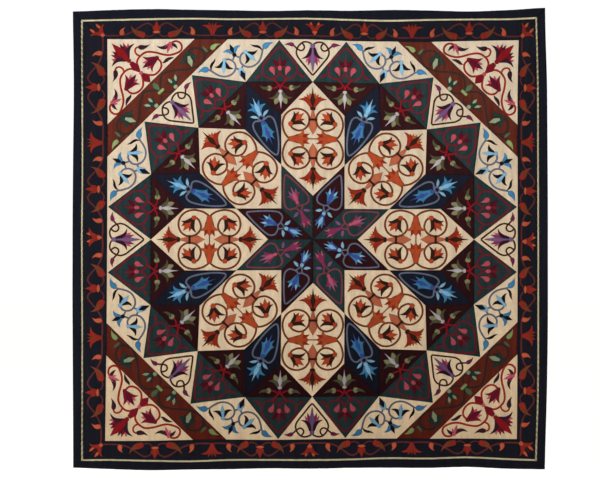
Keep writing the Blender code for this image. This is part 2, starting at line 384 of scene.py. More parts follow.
bpy.ops.mesh.primitive_grid_add(x_subdivisions=NET_COLUMNS, y_subdivisions=NET_ROWS, size=2)
ground = bpy.context.object
ground.name = "cream_ground"
corners = np.empty(len(ground.data.vertices) * 3, np.float32)
ground.data.vertices.foreach_get("co", corners)
corners = corners.reshape(-1, 3).astype(float)
half_sizes = np.array((PANEL_WIDTH / 2 - RIM_DRAW, PANEL_HEIGHT / 2 - RIM_DRAW))
flat_places = corners[:, :2] * half_sizes
hung = lay(flat_places[:, 0], flat_places[:, 1], 0)
ground.data.vertices.foreach_set("co", hung.astype(np.float32).ravel())
bpy.ops.object.modifier_add(type="SOLIDIFY")
ground.modifiers["Solidify"].thickness = GROUND_THICK
ground.modifiers["Solidify"].offset = 0
bpy.ops.object.modifier_apply(modifier="Solidify")
set_edge(ground.data, np.ones(len(ground.data.vertices)))
# The cream's second colour is painted shade, darker and warmer towards the foot.
ground.data.materials.append(cotton("plain-weave cotton, cream", "#dccaae", mottle_and_pucker_shade=0.10, painted_shade_at_foot="#dcc097"))
bpy.ops.object.shade_smooth()
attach(ground, "root")
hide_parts("ground_cloth")
print("ground points:", len(ground.data.vertices))

# %% [markdown]
# ## The star
# The whole layout grows from one point: eight directions an eighth of a turn apart. Rhombi fill the
# middle, a cream hexagon lies beyond each gap between two rhombi, navy kites stand between the hexagons on
# maroon arrows, and green triangles and rust bands lead out to the square field. These are the same few
# rules as in the solids.

# %% Outlines of the patches
STAR_ARM = 0.184
HEXAGON_SIDE = 0.211
OCTAGON_REACH = 0.6638
BAND_WIDTH = 0.096
TIP_CLEARANCE = 0.003
EIGHTH = math.radians(45)
DIRECTIONS = ("n", "ne", "e", "se", "s", "sw", "w", "nw")


def polar(radius, turn):
    """Point at a radius from the star's middle, turned clockwise from straight up."""
    return Vector((radius * math.sin(turn), radius * math.cos(turn)))


def on_panel(point):
    """A point of the evenly drawn star, stretched and set in its place on the panel."""
    return Vector((CENTRE.x + STRETCH * point[0], CENTRE.y + point[1]))


def star_rhombus(number):
    first, second = polar(STAR_ARM, number * EIGHTH), polar(STAR_ARM, (number + 1) * EIGHTH)
    return [Vector((0, 0)), first, first + second, second]


def shoulder(number, direction):
    """Outer end of a hexagon's straight side, beyond the tip of rhombus number."""
    return star_rhombus(number)[2] + polar(HEXAGON_SIDE, direction * EIGHTH)


def octagon_corner(number):
    return polar(OCTAGON_REACH / math.cos(EIGHTH / 2), (number + 0.5) * EIGHTH)


def navy_kite(number):
    tip = star_rhombus(number)[2]
    return [tip, shoulder(number, number), octagon_corner(number), shoulder(number, number + 1)]


def maroon_arrow(number):
    tip, left, far, right = navy_kite(number)
    left_seam, right_seam = (polar(OCTAGON_REACH, (number + step) * EIGHTH) for step in (0, 1))
    return [tip, left, left_seam, far, right_seam, right]


def green_triangle(number, side):
    """Green triangle on the octagon's side number, left (-1) or right (1) of its middle."""
    corner = octagon_corner(number if side > 0 else number - 1)
    middle = polar(OCTAGON_REACH, number * EIGHTH)
    tip = (corner + middle) / 2 + polar(FIELD_HALF - TIP_CLEARANCE - OCTAGON_REACH, number * EIGHTH)
    return [middle, corner, tip]


def corner_band(number):
    """Straight band across one corner of the square field, number quarter turns from the top right one."""
    near = FIELD_HALF * math.sqrt(2) - FIELD_HALF
    far = (FIELD_HALF + BAND_WIDTH) * math.sqrt(2) - FIELD_HALF
    outline = [Vector((x, FIELD_HALF)) for x in (near, far)] + [Vector((FIELD_HALF, y)) for y in (far, near)]
    for _ in range(number):
        outline = [Vector((point.y, -point.x)) for point in outline]
    return outline


def rectangle(middle, half_width, half_height):
    """Corners of an upright rectangle, anticlockwise from the lower left."""
    signs = ((-1, -1), (1, -1), (1, 1), (-1, 1))
    return [middle + Vector((x * half_width, y * half_height)) for x, y in signs]


def panel_rectangle(margin):
    return rectangle(Vector((0, 0)), PANEL_WIDTH / 2 - margin, PANEL_HEIGHT / 2 - margin)


def frame_strips(name, outer, inner):
    """Four mitred strips between two rectangles."""
    sides = ("foot", "right", "top", "left")
    ends = zip(outer, outer[1:] + outer[:1], inner[1:] + inner[:1], inner)
    return {f"{name}_{side}": list(corners) for side, corners in zip(sides, ends)}


# %% [markdown]
# A patch is a closed sheet. Its outline is drawn in twice: 1.2 mm in, the cloth has risen from its turned
# edge, and 4 mm in, it lies flat. A constrained Delaunay net fills the patch between those lines and the
# points of the ground's net, so the patch takes on the puckers beneath it. The back is the same net, lying
# on the cloth below.

# %% Cutting a patch
PATCH_THICK = 0.0010
LAYER_GAP = 0.0003
# The edge value sets the painted shade along a turned edge: 0 is darkest, 1 has none.
TURNED_EDGE = ((0.0, 0.30, 0.0), (0.0012, 0.85, 0.6), (0.0040, 1.0, 1.0))  # metres in, rise, edge value
CLEAR_OF_EDGE = 0.0065


def drawn_in(corners, inset):
    """Corners of an anticlockwise outline, moved inwards by an even amount."""
    moved = []
    for number, corner in enumerate(corners):
        before = (corner - corners[number - 1]).normalized()
        after = (corners[(number + 1) % len(corners)] - corner).normalized()
        inward = Vector((-before.y, before.x)), Vector((-after.y, after.x))
        moved.append(corner + (inward[0] + inward[1]) * inset / (1 + inward[0].dot(inward[1])))
    return moved


def signed_area(corners):
    """Area within an outline, negative where it runs clockwise."""
    return sum(a.x * b.y - b.x * a.y for a, b in zip(corners, corners[1:] + corners[:1])) / 2


def net_points_inside(corners, clear):
    """Points of the ground's net that lie inside an outline and clear of it."""
    u = np.linspace(-PANEL_WIDTH / 2, PANEL_WIDTH / 2, NET_COLUMNS + 1)
    v = np.linspace(-PANEL_HEIGHT / 2, PANEL_HEIGHT / 2, NET_ROWS + 1)
    u = u[(u > min(c.x for c in corners)) & (u < max(c.x for c in corners))]
    v = v[(v > min(c.y for c in corners)) & (v < max(c.y for c in corners))]
    points = np.array(np.meshgrid(u, v)).reshape(2, -1).T
    inside, near = np.zeros(len(points), bool), np.full(len(points), 1e9)
    for start, end in zip(corners, corners[1:] + corners[:1]):
        a, b = np.array(start), np.array(end)
        crosses = (a[1] > points[:, 1]) != (b[1] > points[:, 1])
        with np.errstate(divide="ignore", invalid="ignore"):
            meets = (b[0] - a[0]) * (points[:, 1] - a[1]) / (b[1] - a[1]) + a[0]
        inside ^= crosses & (points[:, 0] < meets)
        share = np.clip((points - a) @ (b - a) / ((b - a) @ (b - a)), 0, 1)
        near = np.minimum(near, np.linalg.norm(points - a - share[:, None] * (b - a), axis=1))
    return points[inside & (near > clear)]


def patch_net(corners):
    """Flat points, triangles, share of height and edge value of one patch."""
    corners = corners if signed_area(corners) > 0 else corners[::-1]
    column, row = PANEL_WIDTH / NET_COLUMNS, PANEL_HEIGHT / NET_ROWS
    steps = [
        max(2, math.ceil(max(abs(b.x - a.x) / column, abs(b.y - a.y) / row)))
        for a, b in zip(corners, corners[1:] + corners[:1])
    ]
    points, rise, edge = [], [], []
    for inset, share, value in TURNED_EDGE:
        ring = drawn_in(corners, inset) if inset else corners
        for start, end, count in zip(ring, ring[1:] + ring[:1], steps):
            points += [start.lerp(end, step / count) for step in range(count)]
        rise += [share] * sum(steps)
        edge += [value] * sum(steps)
    inner = net_points_inside(corners, CLEAR_OF_EDGE)
    points += [Vector(point) for point in inner]
    rise += [1.0] * len(inner)
    edge += [1.0] * len(inner)
    outline = list(range(sum(steps)))
    made, _, triangles, sources, _, _ = delaunay_2d_cdt(points, [], [outline], 1, 1e-6)
    source = [found[0] for found in sources]
    on_outline = np.array(source) < len(outline)
    return np.array(made), np.array(triangles), np.array(rise)[source], np.array(edge)[source], on_outline


# %% [markdown]
# Patches of one cloth are sewn in one step: their nets are joined into one mesh, the face at its height
# and the back under it, sharing the outline.

# %% Sewing patches of one cloth
GROUND_FRONT = GROUND_THICK / 2


def mesh_piece(name, points, faces, edge, materials, which=None):
    """A smooth mesh object with its edge attribute and cottons, riding on the hanging."""
    mesh = bpy.data.meshes.new(name)
    mesh.from_pydata(points.tolist(), [], faces.tolist())
    set_edge(mesh, edge)
    for material in materials:
        mesh.materials.append(material)
    if which is not None:
        mesh.polygons.foreach_set("material_index", np.asarray(which, np.int32))
    mesh.polygons.foreach_set("use_smooth", np.ones(len(mesh.polygons), bool))
    piece = bpy.data.objects.new(name, mesh)
    bpy.context.scene.collection.objects.link(piece)
    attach(piece, "root")
    print(f"{name}: {len(mesh.polygons)} faces")
    return piece


def sew_patches(name, outlines, under, thick, material):
    """One piece of all the patches in outlines, their backs under metres before the ground's middle."""
    points, faces, edge, count = [], [], [], 0
    for corners in outlines.values():
        net, triangles, rise, rim, on_outline = patch_net(corners)
        behind = np.flatnonzero(~on_outline)
        back = np.arange(len(net))
        back[behind] = len(net) + np.arange(len(behind))
        points.append(lay(net[:, 0], net[:, 1], under + thick * rise))
        points.append(lay(net[behind, 0], net[behind, 1], under))
        faces += [triangles + count, back[triangles][:, ::-1] + count]
        edge += [rim, np.ones(len(behind))]
        count += len(net) + len(behind)
    joined = [np.concatenate(part) for part in (points, faces, edge)]
    piece = mesh_piece(name, *joined, [material])
    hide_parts(*outlines)
    return piece


def placed_outlines(names, rule):
    """Outlines on the panel of patches that one rule draws, by their names."""
    return {name: [on_panel(point) for point in rule(number)] for number, name in enumerate(names)}


eighths = range(1, 9)
rhombi = placed_outlines([f"star_rhombus_{n}" for n in eighths], star_rhombus)
first_layer = GROUND_FRONT + LAYER_GAP
second_layer = first_layer + LAYER_GAP + PATCH_THICK
# Each second colour here is painted shade, darker towards the foot of the hanging.
MAROON = cotton("plain-weave cotton, maroon", "#3b1a1c", mottle_and_pucker_shade=0.20, painted_shade_at_foot="#1d0608")
GREEN = cotton("plain-weave cotton, bottle green", "#2a3d3d", mottle_and_pucker_shade=0.22, painted_shade_at_foot="#1d2b2b")
NAVY = cotton("plain-weave cotton, navy", "#212533", painted_shade_at_foot="#0a0b13")
RUST = cotton("plain-weave cotton, rust", "#622c20", mottle_and_pucker_shade=0.24, painted_shade_at_foot="#541c11")
BORDER_NAVY = cotton("plain-weave cotton, black navy", "#1a1a22")
EDGE_BLACK = cotton("plain-weave cotton, near black", "#171821")
# The piping's low edge value paints a strong shade line along its turned edges.
PIPING = cotton("folded cotton piping, cream", "#dacda4", painted_edge_shade=0.26)
maroon_rhombi, green_rhombi = (dict(list(rhombi.items())[first::2]) for first in (0, 1))
star_maroon = sew_patches("star_maroon", maroon_rhombi, first_layer, PATCH_THICK, MAROON)
star_green = sew_patches("star_green", green_rhombi, first_layer, PATCH_THICK, GREEN)
arrows = sew_patches(
    "maroon_arrows", placed_outlines([f"maroon_arrow_{n}" for n in eighths], maroon_arrow),
    first_layer, PATCH_THICK, MAROON,
)
kites = sew_patches(
    "navy_kites", placed_outlines([f"navy_kite_{n}" for n in eighths], navy_kite),
    second_layer, PATCH_THICK, NAVY,
)
green_outlines = {
    f"green_{direction}_{side}": [on_panel(point) for point in green_triangle(number, sign)]
    for number, direction in enumerate(DIRECTIONS)
    for side, sign in (("left", -1), ("right", 1))
}
greens = sew_patches("green_triangles", green_outlines, first_layer, PATCH_THICK, GREEN)
bands = sew_patches(
    "rust_bands", placed_outlines([f"rust_band_{d}" for d in ("ne", "se", "sw", "nw")], corner_band),
    first_layer, PATCH_THICK, RUST,
)

# %% [markdown]
# ## Borders and piping
# Both borders are mitred strips of a black-navy cotton, and the piping is a flat fold of cream cotton laid
# between them. The outer border reaches past the ground's drawn-in rim, over which it is turned on the
# real hanging.

# %% Borders
PIPING_THICK = 0.0014
piping_outer = panel_rectangle(OUTER_BORDER)
piping_inner = panel_rectangle(OUTER_BORDER + PIPING_WIDTH)
field = rectangle(CENTRE, FIELD_HALF * STRETCH, FIELD_HALF)
outer_border = sew_patches(
    "outer_border", frame_strips("outer_border", panel_rectangle(0), piping_outer),
    first_layer, PATCH_THICK, EDGE_BLACK,
)
inner_border = sew_patches(
    "inner_border", frame_strips("inner_border", piping_inner, field),
    first_layer, PATCH_THICK, BORDER_NAVY,
)
piping = sew_patches(
    "cream_piping", frame_strips("piping", piping_outer, piping_inner),
    first_layer, PIPING_THICK, PIPING,
)

# %% [markdown]
# ## The motifs, cut and sewn
# The maker cuts every stem, petal and leaf from thin cotton, turns its edges under and stitches it down.
# Hundreds of pieces repeat, so each motif is made once, flat and in millimetres, from a few sizes, and
# copied to its places. Every cut piece is a ribbon: a line down its middle, and a width that changes along
# it. A stem keeps its width, a leaf swells and ends in a point, and a disc is a very short stem with round
# ends. The ribbon rises softly from its turned edges, and its underside is closed. Across it there is a
# point at least every 8 mm on top and every 12 mm below, so that a wide petal bends with the puckers and
# its underside stays hidden.

# %% One cut piece
MOTIF_THICK = 0.95  # millimetres, like every size in the motifs
MOTIF_LAYER = 0.45  # from one layer to the next
SUNK = -0.15  # height of the turned edge, in the cloth below, as a share of the thickness
TURNED = 1.3  # millimetres from an end of a piece to where it has risen
SLOPE = 2.5  # millimetres from a side of a wide piece to where it lies flat
WIDEST_SLOPE = 0.34  # share of a narrow piece's half width that the slope takes
# A lower edge value towards the sides is painted darker in the cottons, as painted shade.
SIDE_FALL, SIDE_SHADE = 0.28, 0.25  # shares of height and of edge value lost towards the sides
CURVE_POINTS = 14  # on a curve, from one given point to the next
DISC_END = 0.98  # share of a disc's reach that each rounded end takes
TOP_STEP, UNDERSIDE_STEP, STEM_STEP, LEAF_STEP = 8, 12, 4.5, 2.5  # millimetres between points
ROUNDED_END, POINTED_END = (0, 0.08, 0.3, 0.62), (0, 0.3)  # places along a piece's end
FORMS = {
    "stem": (1, 1),
    "wedge": (1, 0.83, 0.67, 0.5, 0.33, 0.17, 0),
    "kite": (0.5, 0.67, 0.83, 1, 0.67, 0.33, 0),
    "lozenge": (0.2, 0.47, 0.73, 1, 0.8, 0.6, 0.4, 0.2, 0),
    "tail": (0.2, 0.5, 0.8, 1, 0.5, 0),
    "leaf": (0, 0.6, 0.94, 1, 0.8, 0.45, 0),
    "tooth": (0.55, 0.72, 0.86, 0.96, 1, 0.94, 0.62, 0),
    "flame": (0.4, 0.64, 0.85, 0.98, 1, 0.84, 0.56, 0.28, 0),
    "swoop": (0.45, 0.78, 0.98, 1, 0.9, 0.7, 0.48, 0.26, 0),
    "spindle": (0.15, 0.52, 0.9, 1, 0.68, 0.36, 0.22, 0.12, 0),
    "drop": (0.4, 0.46, 0.6, 0.9, 1, 0.74, 0.48, 0.36, 0),
    "trumpet": (0.42, 0.47, 0.55, 0.67, 0.83, 1, 0.5, 0),
    "bud": (0.6, 0.98, 1, 0.75, 0.45, 0.2, 0),
}
STRAIGHT_FORMS = ("stem", "wedge", "kite", "lozenge", "tail")


def smooth_line(points):
    """Closely spaced points on a smooth curve through a few, and the distance along it."""
    points = np.array(points, float)
    shares = np.linspace(0, 1, CURVE_POINTS * (len(points) - 1) + 1)
    line = np.stack([along(points[:, 0], shares), along(points[:, 1], shares)], axis=1)
    return line, np.concatenate([[0], np.cumsum(np.linalg.norm(np.diff(line, axis=0), axis=1))])


def cross_section(width):
    """Once round a ribbon: shares of its half-width, shares of its thickness, and edge values."""
    flat_share = 1 - min(WIDEST_SLOPE, SLOPE / (width / 2))
    top = np.linspace(-1, 1, 2 * math.ceil(flat_share * width / 2 / TOP_STEP) + 1)
    underside = np.linspace(1, -1, math.ceil(width / UNDERSIDE_STEP) + 1)[1:-1]
    across = np.concatenate([[-1], top * flat_share, [1], underside])
    height = np.concatenate([[SUNK], 1 - SIDE_FALL * top ** 4, [SUNK], underside * 0 + SUNK])
    edge = np.concatenate([[0], 1 - SIDE_SHADE * top ** 4, [0], underside * 0])
    return across, height, edge


def ribbon_triangles(rows, around):
    """Triangles of a closed ribbon: a point, rows that each go once round it, and a point."""
    last = 1 + rows * around
    made = []
    for place in range(around):
        after = (place + 1) % around
        made += [(0, 1 + place, 1 + after), (last, last - around + after, last - around + place)]
        for row in range(1, last - around, around):
            a, b = row + place, row + after
            made += [(a, a + around, b + around), (a, b + around, b)]
    return np.array(made)


def cut(colour, points, width, form="stem", layer=0, end=None):
    """One piece of cloth along a line: its colour, flat points, heights, edge values and triangles."""
    line, travelled = smooth_line(points)
    length = travelled[-1]
    if end is None:
        end = width / 2 if form == "stem" else TURNED
    end = min(length / 3, end)
    count = max(3, round((length - 2 * end) / (STEM_STEP if form == "stem" else max(length / 9, LEAF_STEP))))
    ends = end * np.array(ROUNDED_END if form == "stem" else POINTED_END)
    places = np.concatenate([ends, np.linspace(end, length - end, count), length - ends[::-1]])
    spine = np.stack([np.interp(places, travelled, line[:, axis]) for axis in (0, 1)], axis=1)
    ahead = np.gradient(spine, places, axis=0)
    ahead /= np.linalg.norm(ahead, axis=1, keepdims=True)
    leftward = np.stack([-ahead[:, 1], ahead[:, 0]], axis=1)[1:-1, None]
    half = along(FORMS[form], places / length)
    if form in STRAIGHT_FORMS:
        half = np.interp(places / length, np.linspace(0, 1, len(FORMS[form])), FORMS[form])
    from_end = np.minimum(places, length - places)
    half = (width / 2 * half * np.sqrt(1 - (1 - np.clip(from_end / end, 0, 1)) ** 2))[1:-1, None]
    rise = np.clip(from_end / TURNED, 0, 1)[1:-1, None]
    across, high, rim = cross_section(width)
    rows = spine[1:-1, None] + leftward * (half * across)[..., None]
    flat = np.concatenate([spine[:1], rows.reshape(-1, 2), spine[-1:]])
    height = np.concatenate([[SUNK], (SUNK + (high - SUNK) * rise).ravel(), [SUNK]])
    height = height * MOTIF_THICK + layer * MOTIF_LAYER
    edge = np.concatenate([[0], (rim * rise).ravel(), [0]])
    return colour, flat, height, edge, ribbon_triangles(len(rows), len(across))


def leaf(colour, start, tip, width, bow=0.0, form="leaf", layer=1):
    """A piece from start to tip, whose line bows to its left by a share of its length."""
    start, tip = np.array(start, float), np.array(tip, float)
    side = np.array([start[1] - tip[1], tip[0] - start[0]]) * 2 * bow
    line = [start + (tip - start) * s + side * 2 * s * (1 - s) for s in (0, 0.25, 0.5, 0.75, 1)]
    return cut(colour, line, width, form, layer)


def disc(colour, middle, width, layer=1, tall=None):
    """A round or oval knob."""
    reach = (tall or width) / 2
    line = [(middle[0], middle[1] - reach), (middle[0], middle[1] + reach)]
    return cut(colour, line, width, "stem", layer, reach * DISC_END)


# %% [markdown]
# A motif is a list of cut pieces, so it can be moved, turned and mirrored as one. Most are the same on
# both sides of a middle line, and the maker folds the cloth to cut both sides at once. A bloom is a fan of
# petals from one base: each row names a petal's tip, and every tip off the middle line is cut twice.

# %% Moving, mirroring and blooming
def moved(pieces, at, turn=0.0, flip=False):
    """The pieces mirrored if asked, turned clockwise by degrees and moved."""
    c, s = math.cos(math.radians(turn)), math.sin(math.radians(turn))
    result = []
    for colour, flat, height, edge, triangles in pieces:
        x = -flat[:, 0] if flip else flat[:, 0]
        turned = np.stack([x * c + flat[:, 1] * s + at[0], flat[:, 1] * c - x * s + at[1]], axis=1)
        result.append((colour, turned, height, edge, triangles[:, ::-1] if flip else triangles))
    return result


def upside_down(pieces):
    """The pieces mirrored up to down."""
    return moved(pieces, (0, 0), turn=180, flip=True)


def both_sides(pieces):
    """The pieces and their mirror images in the upright middle line."""
    return pieces + moved(pieces, (0, 0), flip=True)


def both_ways(points):
    """A line through points that end on the middle line, and back through their mirror images."""
    return points + [(-x, y) for x, y in points[-2::-1]]


def bloom(rows, at=(0, 0), turn=0.0, size=1.0):
    """Petals from one base. Each row is colour, tip across, tip ahead, width, bow, form, layer."""
    petals = []
    for colour, across, ahead, width, bow, form, layer in rows:
        sides = (1, -1) if across else (1,)
        petals += [
            leaf(colour, (0, 0), (side * across * size, ahead * size), width * size, side * bow, form, layer)
            for side in sides
        ]
    return moved(petals, at, turn)


# %% [markdown]
# Each colour of thin cotton has its own material. The motifs of one area are joined into one piece, laid
# on the hung cloth over the patch below. Thin cotton folds to a finer edge than the patches do, with lighter
# painted shade.
# Most motifs repeat round the star at one radius, either in its eight directions or half way between them.

# %% Sewing the motifs on
MOTIF_COLOURS = {
    "rust orange": "#bb4a28",
    "orange red": "#9a2e1b",
    "burnt orange": "#b0562c",
    "salmon": "#c06848",
    "dark brown": "#382019",
    "ring brown": "#7a3a20",
    "slate": "#696f81",
    "middle blue": "#4484ad",
    "deep blue": "#3f5298",
    "light blue": "#8bbcd6",
    "dusky rose": "#82404b",
    "magenta": "#893556",
    "pink": "#bd5870",
    "lilac": "#7f567c",
    "madder red": "#70222b",
    "bright red": "#901a22",
    "deep crimson": "#5a1220",
    "rose pink": "#bf545c",
    "dark olive": "#555138",
    "light olive": "#8c8a62",
    "grey white": "#c3b8b8",
    "heart brown": "#42231a",
    "magenta plum": "#75264e",
    "aubergine": "#37192a",
    "purple": "#7a5c84",
    "black": "#1c181e",
    "scarlet brown": "#98241c",
    "scarlet": "#86171b",
    "crimson": "#771522",
    "wine": "#5a1428",
    "plum": "#381c28",
    "corner pink": "#c05260",
    "vine green": "#332f2a",
    "deep green": "#263c36",
    "pale green": "#98a680",
    "bar green": "#90a868",
    "sage": "#566b4b",
    "vine brown": "#5c2a28",
    "border red": "#8b2a20",
    "border dark": "#382019",
    "border orange": "#bc5638",
    "border brown": "#733a24",
}
# Painted light: motifs get painted shade at the foot and a painted highlight at the top, borders the other
# way round, corners none.
MOTIF_PAINTED_LIGHT, CORNER_PAINTED_LIGHT, BORDER_PAINTED_LIGHT = (0.57, 1.13), (1.0, 1.0), (1.12, 0.82)  # brightness at foot and top


def sew_motifs(name, pieces, under, painted_light_fade=MOTIF_PAINTED_LIGHT):
    """One piece of many cut pieces, placed in metres, under metres before the ground's middle."""
    colours = sorted({piece[0] for piece in pieces})
    starts = np.cumsum([0] + [len(piece[1]) for piece in pieces])
    flat = np.concatenate([piece[1] for piece in pieces])
    heights = np.concatenate([piece[2] for piece in pieces]) / 1000
    faces = np.concatenate([piece[4] + start for piece, start in zip(pieces, starts)])
    which = np.concatenate([np.full(len(piece[4]), colours.index(piece[0])) for piece in pieces])
    # Motifs get lighter painted shade at their edges, and painted light down the hanging.
    look = {"painted_edge_shade": 0.72, "mottle_and_pucker_shade": 0.10, "painted_light_fade": painted_light_fade}
    materials = [cotton(f"thin appliqued cotton, {name}", MOTIF_COLOURS[name], **look) for name in colours]
    edge = np.concatenate([piece[3] for piece in pieces])
    motifs = mesh_piece(name, lay(flat[:, 0], flat[:, 1], under + heights), faces, edge, materials, which)
    return motifs


def on_star(pieces, origin, turn, flip=False):
    """A motif in millimetres, set on the panel at a point of the star and turned clockwise by radians."""
    placed = []
    for colour, flat, height, edge, triangles in moved(pieces, (0, 0), math.degrees(turn), flip):
        u = CENTRE.x + STRETCH * (origin.x + flat[:, 0] / 1000)
        v = CENTRE.y + origin.y + flat[:, 1] / 1000
        placed.append((colour, np.stack([u, v], axis=1), height, edge, triangles))
    return placed


def round_star(radius, offset, *motifs):
    """Motifs by turns at the star's eight directions, moved on by offset eighths of a turn."""
    turns = [(number + offset) * EIGHTH for number in range(8)]
    return [
        piece
        for number, turn in enumerate(turns)
        for piece in on_star(motifs[number % len(motifs)], polar(radius, turn), turn)
    ]


over_ground = GROUND_FRONT
over_first = first_layer + PATCH_THICK
over_second = second_layer + PATCH_THICK

# %% [markdown]
# ### Hexagons
# Each cream hexagon holds four brown scrolls that curl in to a small lotus, a large lotus at either end,
# salmon lozenges up its middle and two half lotuses that meet across it. One quarter is drawn and mirrored
# both ways.

# %% Hexagon motif
HEXAGON_MIDDLE = 0.424
quarter = [
    cut("ring brown", [
        (98, 1), (113, 20), (122, 45), (124, 70), (115, 98), (94, 119), (64, 127), (35, 119), (18, 100),
        (14, 80), (21, 55), (38, 39), (58, 35), (81, 43), (92, 55),
    ], 9),
    leaf("orange red", (84, 74), (56, 116), 20, 0.0, "flame", 1),
    leaf("orange red", (84, 68), (32, 84), 19, 0.0, "flame", 1),
    leaf("rust orange", (87, 68), (35, 109), 23, 0.0, "flame", 2),
    leaf("dark brown", (91, 68), (79, 117), 18, 0.20, "swoop", 3),
    leaf("dark brown", (86, 63), (27, 52), 18, -0.20, "swoop", 3),
    disc("rust orange", (91, 63), 20, 4, 21),
]
end_lotus = bloom(
    [
        ("burnt orange", 0, 66, 58, 0.0, "trumpet", 0),
        ("orange red", 37, 52, 22, 0.10, "flame", 1),
        ("rust orange", 26, 62, 22, 0.06, "flame", 2),
        ("burnt orange", 13, 68, 20, 0.02, "flame", 3),
        ("orange red", 59, 38, 24, 0.24, "swoop", 4),
    ],
    at=(0, 128),
) + [leaf("dark brown", (0, 134), (0, 219), 24, 0, "spindle", 5)]
half_lotus = bloom(
    [
        ("rust orange", 0, 84, 50, 0.0, "trumpet", 1),
        ("orange red", 22, 87, 28, 0.05, "flame", 2),
        ("burnt orange", 44, 62, 27, 0.26, "swoop", 3),
        ("rust orange", 0, 88, 25, 0.0, "flame", 4),
    ],
    at=(-99, 0), turn=90,
)
upper = both_sides(quarter) + end_lotus + [
    disc("dark brown", (0, 127), 21, 7, 15),
    leaf("salmon", (0, 85), (0, 140), 24, 0, "wedge", 4),
    leaf("salmon", (0, 80), (0, 17), 36, 0, "kite", 2),
    cut("dark brown", [(-19, 82), (19, 82)], 10, "stem", 5, 2),
]
across = both_sides(half_lotus + [cut("ring brown", [(-22, 0), (0, 0)], 4, "stem", 5)])
hexagon = upper + upside_down(upper) + across
hexagons = round_star(HEXAGON_MIDDLE, 0, hexagon)
hexagon_motifs = sew_motifs("hexagon_motifs", hexagons, over_ground)

# %% [markdown]
# ### Navy kites
# A slate-blue line is laid in the shape of a heart with its tip to the middle, and its ends knot over each
# other. A blue bell hangs inside it, and a paler lotus with two leaves opens beyond the knot.

# %% Kite motif
kite_line = [
    (1, 226), (13, 214), (2, 202), (-14, 205), (-29, 209), (-41, 201), (-46, 180), (-41, 142), (-29, 98),
    (-14, 62), (0, 46),
]
kite = both_sides([leaf("light blue", (11, 217), (42, 235), 13, 0.06, "leaf", 3)]) + bloom(
    [
        ("middle blue", 0, 76, 50, 0.0, "trumpet", 1),
        ("middle blue", 18, 85, 19, 0.05, "flame", 2),
        ("middle blue", 32, 57, 17, 0.20, "swoop", 3),
    ],
    at=(0, 195), turn=180,
) + bloom(
    [
        ("middle blue", 0, 52, 38, 0.0, "trumpet", 1),
        ("middle blue", 21, 62, 20, 0.06, "flame", 2),
        ("middle blue", 42, 34, 21, 0.25, "swoop", 3),
        ("light blue", 0, 80, 22, 0.0, "spindle", 4),
    ],
    at=(0, 228),
) + [
    leaf("deep blue", (0, 178), (0, 88), 19, 0, "spindle", 4),
    cut("slate", both_ways(kite_line), 8),
    disc("deep blue", (0, 192), 18, 5, 20),
    disc("light blue", (0, 232), 18, 5, 17),
]
RHOMBUS_REACH = 2 * STAR_ARM * math.cos(EIGHTH / 2)
kite_motifs = sew_motifs("kite_motifs", round_star(RHOMBUS_REACH, 0.5, kite), over_second)

# %% [markdown]
# ### Rhombi of the middle star
# The same heart turns its tip outwards here, and two short lines tie it to a bell that hangs towards the
# middle. Blue flowers lie on the maroon rhombi and rose ones on the green.

# %% Star motifs
def star_motif(line, bell, bell_tip, bell_middle, leaves, lotus, lotus_tip, lotus_middle, knob):
    """Heart, inward bell and outward lotus of one rhombus, in the given colours."""
    heart = [
        (1, 158), (-9, 151), (-22, 149), (-40, 152), (-51, 168), (-49, 190), (-34, 230), (-15, 272),
        (0, 294),
    ]
    inward = bloom(
        [
            (bell, 0, 54, 36, 0.0, "trumpet", 0),
            (bell_tip, 15, 64, 17, 0.02, "flame", 1),
            (bell, 26, 47, 17, 0.16, "swoop", 2),
        ],
        at=(0, 119), turn=180,
    )
    outward = bloom(
        [
            (lotus, 0, 48, 40, 0.0, "trumpet", 1),
            (lotus_tip, 17, 62, 17, 0.0, "flame", 2),
            (lotus, 31, 40, 21, 0.20, "swoop", 3),
            (lotus_middle, 0, 76, 22, 0.0, "spindle", 4),
        ],
        at=(0, 166),
    )
    sides = both_sides([
        leaf(leaves, (11, 131), (39, 116), 14, -0.06, "leaf", 2),
        cut(line, [(1, 124), (8, 137), (16, 151)], 7),
    ])
    return sides + inward + outward + [
        leaf(bell_middle, (0, 104), (0, 46), 20, 0, "spindle", 3),
        cut(line, both_ways(heart), 7.6),
        disc(knob, (0, 118), 16, 4),
        disc(lotus_middle, (0, 167), 15, 5),
    ]


blue_star = star_motif(
    "slate", "deep blue", "middle blue", "light blue", "light blue",
    "middle blue", "light blue", "deep blue", "light blue",
)
rose_star = star_motif(
    "dusky rose", "magenta", "pink", "magenta", "lilac",
    "magenta", "lilac", "pink", "magenta",
)
star_motifs = sew_motifs("star_motifs", round_star(0, 0.5, blue_star, rose_star), over_first)

# %% [markdown]
# ### Hearts on the green triangles
# A red line is laid as a heart with its tip outwards. Its ends run in to a pink knob, out to two pink
# drops and down over the seam on to the maroon, where olive buds and a white lotus hang from them.

